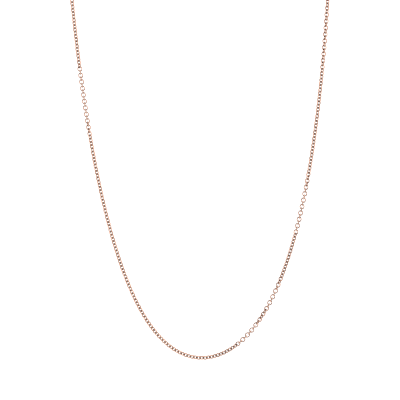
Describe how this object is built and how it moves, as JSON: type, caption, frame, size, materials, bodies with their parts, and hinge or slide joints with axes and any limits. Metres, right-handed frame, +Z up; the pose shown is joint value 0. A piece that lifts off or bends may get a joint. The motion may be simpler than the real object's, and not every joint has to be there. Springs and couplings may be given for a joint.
{
  "type": "cable chain necklace",
  "caption": "Fine round-wire cable chain necklace in rose gold, laid out unclasped in a U, with a lobster clasp and a two-hole end tab.",
  "frame": {"origin": "on the table under the front link, the lowest point of the U that the chain hangs in when worn", "axes": "+Z up from the table, +Y from the front link up along the two strands, +X towards the strand with the end tab"},
  "size_m": [0.1078, 0.216, 0.0029],
  "materials": {
    "chain": "polished rose gold",
    "findings": "polished rose gold",
    "spring_steel": "bright spring wire"
  },
  "bodies": {
    "chain_front": {"chain_front": "chain"},
    "chain_left_01": {"chain_left_01": "chain"},
    "chain_left_02": {"chain_left_02": "chain"},
    "chain_left_03": {"chain_left_03": "chain"},
    "chain_left_04": {"chain_left_04": "chain"},
    "chain_left_05": {"chain_left_05": "chain"},
    "chain_left_06": {"chain_left_06": "chain"},
    "chain_left_07": {"chain_left_07": "chain"},
    "chain_left_08": {"chain_left_08": "chain"},
    "chain_left_09": {"chain_left_09": "chain"},
    "chain_left_10": {"chain_left_10": "chain"},
    "chain_left_11": {"chain_left_11": "chain"},
    "chain_left_12": {"chain_left_12": "chain"},
    "chain_left_13": {"chain_left_13": "chain"},
    "chain_left_14": {"chain_left_14": "chain"},
    "chain_left_15": {"chain_left_15": "chain"},
    "chain_left_16": {"chain_left_16": "chain"},
    "chain_left_17": {"chain_left_17": "chain"},
    "chain_left_18": {"chain_left_18": "chain"},
    "chain_left_19": {"chain_left_19": "chain"},
    "chain_left_20": {"chain_left_20": "chain"},
    "chain_left_21": {"chain_left_21": "chain"},
    "chain_left_22": {"chain_left_22": "chain"},
    "chain_left_23": {"chain_left_23": "chain"},
    "chain_left_24": {"chain_left_24": "chain"},
    "chain_left_25": {"chain_left_25": "chain"},
    "chain_right_01": {"chain_right_01": "chain"},
    "chain_right_02": {"chain_right_02": "chain"},
    "chain_right_03": {"chain_right_03": "chain"},
    "chain_right_04": {"chain_right_04": "chain"},
    "chain_right_05": {"chain_right_05": "chain"},
    "chain_right_06": {"chain_right_06": "chain"},
    "chain_right_07": {"chain_right_07": "chain"},
    "chain_right_08": {"chain_right_08": "chain"},
    "chain_right_09": {"chain_right_09": "chain"},
    "chain_right_10": {"chain_right_10": "chain"},
    "chain_right_11": {"chain_right_11": "chain"},
    "chain_right_12": {"chain_right_12": "chain"},
    "chain_right_13": {"chain_right_13": "chain"},
    "chain_right_14": {"chain_right_14": "chain"},
    "chain_right_15": {"chain_right_15": "chain"},
    "chain_right_16": {"chain_right_16": "chain"},
    "chain_right_17": {"chain_right_17": "chain"},
    "chain_right_18": {"chain_right_18": "chain"},
    "chain_right_19": {"chain_right_19": "chain"},
    "chain_right_20": {"chain_right_20": "chain"},
    "chain_right_21": {"chain_right_21": "chain"},
    "chain_right_22": {"chain_right_22": "chain"},
    "chain_right_23": {"chain_right_23": "chain"},
    "chain_right_24": {"chain_right_24": "chain"},
    "chain_right_25": {"chain_right_25": "chain"},
    "clasp_ring": {"clasp_ring": "findings"},
    "clasp": {"clasp_body": "findings", "clasp_rivet": "findings", "clasp_spring": "spring_steel"},
    "clasp_lever": {"clasp_lever": "findings"},
    "end_ring": {"end_ring": "findings"},
    "end_tab": {"end_tab": "findings"}
  },
  "joints": [
    {"name": "clasp_ring_swing", "type": "hinge", "parent": "chain_left_25", "child": "clasp_ring", "pos_m": [-0.05327, 0.20132, 0.00143], "axis": [-0.7063, -0.0334, 0.7071], "range_deg": [-30, 30]},
    {"name": "clasp_swivel", "type": "hinge", "parent": "clasp_ring", "child": "clasp", "pos_m": [-0.05334, 0.20293, 0.00143], "axis": [0.7063, 0.0334, 0.7071], "range_deg": [-60, 60]},
    {"name": "clasp_lever_open", "type": "hinge", "parent": "clasp", "child": "clasp_lever", "pos_m": [-0.05238, 0.2079, 0.0014], "axis": [0, 0, 1], "range_deg": [0, 28], "stiffness_Nm_per_rad": 0.00001, "springref_deg": -11.46},
    {"name": "end_ring_swing", "type": "hinge", "parent": "chain_right_25", "child": "end_ring", "pos_m": [0.04904, 0.20102, 0.00143], "axis": [-0.7071, 0.0053, -0.7071], "range_deg": [-30, 30]},
    {"name": "end_tab_swivel", "type": "hinge", "parent": "end_ring", "child": "end_tab", "pos_m": [0.04905, 0.20263, 0.00143], "axis": [-0.7071, 0.0053, 0.7071], "range_deg": [-60, 60]},
    {"name": "chain_left_01_bend", "type": "hinge", "parent": "chain_front", "child": "chain_left_01", "pos_m": [-0.004, 0.00044, 0.00073], "axis": [-0.1921, -0.6805, -0.7071], "range_deg": [-40, 40]},
    {"name": "chain_left_02_bend", "type": "hinge", "parent": "chain_left_01", "child": "chain_left_02", "pos_m": [-0.01166, 0.00411, 0.00073], "axis": [0.4398, 0.5537, -0.7071], "range_deg": [-40, 40]},
    {"name": "chain_left_03_bend", "type": "hinge", "parent": "chain_left_02", "child": "chain_left_03", "pos_m": [-0.0177, 0.0101, 0.00073], "axis": [-0.5622, -0.4289, -0.7071], "range_deg": [-40, 40]},
    {"name": "chain_left_04_bend", "type": "hinge", "parent": "chain_left_03", "child": "chain_left_04", "pos_m": [-0.02242, 0.01721, 0.00073], "axis": [-0.6197, -0.3406, 0.7071], "range_deg": [-40, 40]},
    {"name": "chain_left_05_bend", "type": "hinge", "parent": "chain_left_04", "child": "chain_left_05", "pos_m": [-0.02622, 0.02485, 0.00073], "axis": [0.6492, 0.2802, 0.7071], "range_deg": [-40, 40]},
    {"name": "chain_left_06_bend", "type": "hinge", "parent": "chain_left_05", "child": "chain_left_06", "pos_m": [-0.02938, 0.03278, 0.00073], "axis": [-0.6661, -0.2374, 0.7071], "range_deg": [-40, 40]},
    {"name": "chain_left_07_bend", "type": "hinge", "parent": "chain_left_06", "child": "chain_left_07", "pos_m": [-0.03209, 0.04088, 0.00073], "axis": [0.6766, 0.2055, 0.7071], "range_deg": [-40, 40]},
    {"name": "chain_left_08_bend", "type": "hinge", "parent": "chain_left_07", "child": "chain_left_08", "pos_m": [-0.03444, 0.04909, 0.00073], "axis": [0.6836, 0.1809, -0.7071], "range_deg": [-40, 40]},
    {"name": "chain_left_09_bend", "type": "hinge", "parent": "chain_left_08", "child": "chain_left_09", "pos_m": [-0.03653, 0.05737, 0.00073], "axis": [-0.6885, -0.1612, -0.7071], "range_deg": [-40, 40]},
    {"name": "chain_left_10_bend", "type": "hinge", "parent": "chain_left_09", "child": "chain_left_10", "pos_m": [-0.03839, 0.0657, 0.00073], "axis": [0.6921, 0.1449, -0.7071], "range_deg": [-40, 40]},
    {"name": "chain_left_11_bend", "type": "hinge", "parent": "chain_left_10", "child": "chain_left_11", "pos_m": [-0.04007, 0.07408, 0.00073], "axis": [-0.6948, -0.1311, -0.7071], "range_deg": [-40, 40]},
    {"name": "chain_left_12_bend", "type": "hinge", "parent": "chain_left_11", "child": "chain_left_12", "pos_m": [-0.0416, 0.08248, 0.0008], "axis": [-0.8282, -0.163, 0.5363], "range_deg": [-40, 40]},
    {"name": "chain_left_13_bend", "type": "hinge", "parent": "chain_left_12", "child": "chain_left_13", "pos_m": [-0.04299, 0.0909, 0.00095], "axis": [0, 0, 1], "range_deg": [-40, 40]},
    {"name": "chain_left_14_bend", "type": "hinge", "parent": "chain_left_13", "child": "chain_left_14", "pos_m": [-0.04425, 0.09935, 0.00095], "axis": [-0.99, -0.1409, 0], "range_deg": [-40, 40]},
    {"name": "chain_left_15_bend", "type": "hinge", "parent": "chain_left_14", "child": "chain_left_15", "pos_m": [-0.04542, 0.10781, 0.00093], "axis": [0.4729, 0.1344, 0.8708], "range_deg": [-40, 40]},
    {"name": "chain_left_16_bend", "type": "hinge", "parent": "chain_left_15", "child": "chain_left_16", "pos_m": [-0.04648, 0.11628, 0.00073], "axis": [0.7021, 0.0838, -0.7071], "range_deg": [-40, 40]},
    {"name": "chain_left_17_bend", "type": "hinge", "parent": "chain_left_16", "child": "chain_left_17", "pos_m": [-0.04746, 0.12477, 0.00073], "axis": [-0.7029, -0.077, -0.7071], "range_deg": [-40, 40]},
    {"name": "chain_left_18_bend", "type": "hinge", "parent": "chain_left_17", "child": "chain_left_18", "pos_m": [-0.04836, 0.13326, 0.00073], "axis": [0.7036, 0.0707, -0.7071], "range_deg": [-40, 40]},
    {"name": "chain_left_19_bend", "type": "hinge", "parent": "chain_left_18", "child": "chain_left_19", "pos_m": [-0.04919, 0.14176, 0.00073], "axis": [-0.7041, -0.0649, -0.7071], "range_deg": [-40, 40]},
    {"name": "chain_left_20_bend", "type": "hinge", "parent": "chain_left_19", "child": "chain_left_20", "pos_m": [-0.04994, 0.15027, 0.0008], "axis": [-0.5328, -0.0789, 0.8426], "range_deg": [-40, 40]},
    {"name": "chain_left_21_bend", "type": "hinge", "parent": "chain_left_20", "child": "chain_left_21", "pos_m": [-0.05064, 0.15878, 0.00094], "axis": [0.9819, 0.0758, 0.1736], "range_deg": [-40, 40]},
    {"name": "chain_left_22_bend", "type": "hinge", "parent": "chain_left_21", "child": "chain_left_22", "pos_m": [-0.05127, 0.16729, 0.00089], "axis": [-0.4825, -0.0024, 0.8759], "range_deg": [-40, 40]},
    {"name": "chain_left_23_bend", "type": "hinge", "parent": "chain_left_22", "child": "chain_left_23", "pos_m": [-0.05185, 0.17581, 0.00073], "axis": [0.7057, 0.0451, 0.7071], "range_deg": [-40, 40]},
    {"name": "chain_left_24_bend", "type": "hinge", "parent": "chain_left_23", "child": "chain_left_24", "pos_m": [-0.05237, 0.18434, 0.00073], "axis": [0.7059, 0.0408, -0.7071], "range_deg": [-40, 40]},
    {"name": "chain_left_25_bend", "type": "hinge", "parent": "chain_left_24", "child": "chain_left_25", "pos_m": [-0.05285, 0.19287, 0.00091], "axis": [-0.7091, 0.0201, -0.7048], "range_deg": [-40, 40]},
    {"name": "chain_right_01_bend", "type": "hinge", "parent": "chain_front", "child": "chain_right_01", "pos_m": [0.004, 0.00043, 0.00073], "axis": [0.1859, -0.6822, -0.7071], "range_deg": [-40, 40]},
    {"name": "chain_right_02_bend", "type": "hinge", "parent": "chain_right_01", "child": "chain_right_02", "pos_m": [0.01174, 0.00394, 0.00077], "axis": [-0.274, 0.4777, -0.8347], "range_deg": [-40, 40]},
    {"name": "chain_right_03_bend", "type": "hinge", "parent": "chain_right_02", "child": "chain_right_03", "pos_m": [0.01803, 0.00967, 0.00095], "axis": [0.7678, -0.6407, 0], "range_deg": [-40, 40]},
    {"name": "chain_right_04_bend", "type": "hinge", "parent": "chain_right_03", "child": "chain_right_04", "pos_m": [0.02304, 0.01658, 0.00085], "axis": [0.3421, -0.2437, 0.9075], "range_deg": [-40, 40]},
    {"name": "chain_right_05_bend", "type": "hinge", "parent": "chain_right_04", "child": "chain_right_05", "pos_m": [0.02705, 0.02411, 0.00095], "axis": [-0.9097, 0.4153, 0], "range_deg": [-40, 40]},
    {"name": "chain_right_06_bend", "type": "hinge", "parent": "chain_right_05", "child": "chain_right_06", "pos_m": [0.03034, 0.03199, 0.00074], "axis": [0.6646, -0.2414, 0.7071], "range_deg": [-40, 40]},
    {"name": "chain_right_07_bend", "type": "hinge", "parent": "chain_right_06", "child": "chain_right_07", "pos_m": [0.03307, 0.04008, 0.00073], "axis": [-0.6771, 0.2038, 0.7071], "range_deg": [-40, 40]},
    {"name": "chain_right_08_bend", "type": "hinge", "parent": "chain_right_07", "child": "chain_right_08", "pos_m": [0.03538, 0.0483, 0.00095], "axis": [-0.9695, 0.2451, 0], "range_deg": [-40, 40]},
    {"name": "chain_right_09_bend", "type": "hinge", "parent": "chain_right_08", "child": "chain_right_09", "pos_m": [0.03735, 0.05661, 0.00095], "axis": [0, 0, -1], "range_deg": [-28, 40]},
    {"name": "chain_right_10_bend", "type": "hinge", "parent": "chain_right_09", "child": "chain_right_10", "pos_m": [0.03905, 0.06498, 0.0009], "axis": [-0.8931, 0.1563, -0.4219], "range_deg": [-40, 40]},
    {"name": "chain_right_11_bend", "type": "hinge", "parent": "chain_right_10", "child": "chain_right_11", "pos_m": [0.04052, 0.07339, 0.00073], "axis": [0.6981, -0.1123, -0.7071], "range_deg": [-40, 40]},
    {"name": "chain_right_12_bend", "type": "hinge", "parent": "chain_right_11", "child": "chain_right_12", "pos_m": [0.04181, 0.08183, 0.00073], "axis": [0.7002, -0.0983, 0.7071], "range_deg": [-40, 40]},
    {"name": "chain_right_13_bend", "type": "hinge", "parent": "chain_right_12", "child": "chain_right_13", "pos_m": [0.04293, 0.0903, 0.00073], "axis": [-0.7018, 0.0862, 0.7071], "range_deg": [-40, 40]},
    {"name": "chain_right_14_bend", "type": "hinge", "parent": "chain_right_13", "child": "chain_right_14", "pos_m": [0.04392, 0.09878, 0.00073], "axis": [0.703, -0.0757, 0.7071], "range_deg": [-40, 40]},
    {"name": "chain_right_15_bend", "type": "hinge", "parent": "chain_right_14", "child": "chain_right_15", "pos_m": [0.04479, 0.10728, 0.00083], "axis": [-0.866, 0.0683, 0.4954], "range_deg": [-40, 40]},
    {"name": "chain_right_16_bend", "type": "hinge", "parent": "chain_right_15", "child": "chain_right_16", "pos_m": [0.04555, 0.11578, 0.00091], "axis": [-0.3409, 0.0281, -0.9397], "range_deg": [-40, 40]},
    {"name": "chain_right_17_bend", "type": "hinge", "parent": "chain_right_16", "child": "chain_right_17", "pos_m": [0.04622, 0.1243, 0.00091], "axis": [0.9373, -0.0674, -0.342], "range_deg": [-40, 40]},
    {"name": "chain_right_18_bend", "type": "hinge", "parent": "chain_right_17", "child": "chain_right_18", "pos_m": [0.0468, 0.13282, 0.00077], "axis": [-0.6588, 0.0371, -0.7514], "range_deg": [-40, 40]},
    {"name": "chain_right_19_bend", "type": "hinge", "parent": "chain_right_18", "child": "chain_right_19", "pos_m": [0.0473, 0.14134, 0.00073], "axis": [0.7061, -0.0378, -0.7071], "range_deg": [-40, 40]},
    {"name": "chain_right_20_bend", "type": "hinge", "parent": "chain_right_19", "child": "chain_right_20", "pos_m": [0.04773, 0.14987, 0.00073], "axis": [0.7064, -0.0321, 0.7071], "range_deg": [-40, 40]},
    {"name": "chain_right_21_bend", "type": "hinge", "parent": "chain_right_20", "child": "chain_right_21", "pos_m": [0.04809, 0.1584, 0.00092], "axis": [-0.2059, -0.0037, 0.9786], "range_deg": [-40, 40]},
    {"name": "chain_right_22_bend", "type": "hinge", "parent": "chain_right_21", "child": "chain_right_22", "pos_m": [0.04839, 0.16694, 0.00094], "axis": [0.9843, -0.0305, 0.1736], "range_deg": [-40, 40]},
    {"name": "chain_right_23_bend", "type": "hinge", "parent": "chain_right_22", "child": "chain_right_23", "pos_m": [0.04863, 0.17547, 0.00074], "axis": [-0.7067, 0.0241, 0.7071], "range_deg": [-40, 40]},
    {"name": "chain_right_24_bend", "type": "hinge", "parent": "chain_right_23", "child": "chain_right_24", "pos_m": [0.04882, 0.18401, 0.00073], "axis": [-0.707, 0.0129, -0.7071], "range_deg": [-40, 40]},
    {"name": "chain_right_25_bend", "type": "hinge", "parent": "chain_right_24", "child": "chain_right_25", "pos_m": [0.04895, 0.19255, 0.00091], "axis": [0.7078, 0.0482, -0.7048], "range_deg": [-40, 40]}
  ]
}
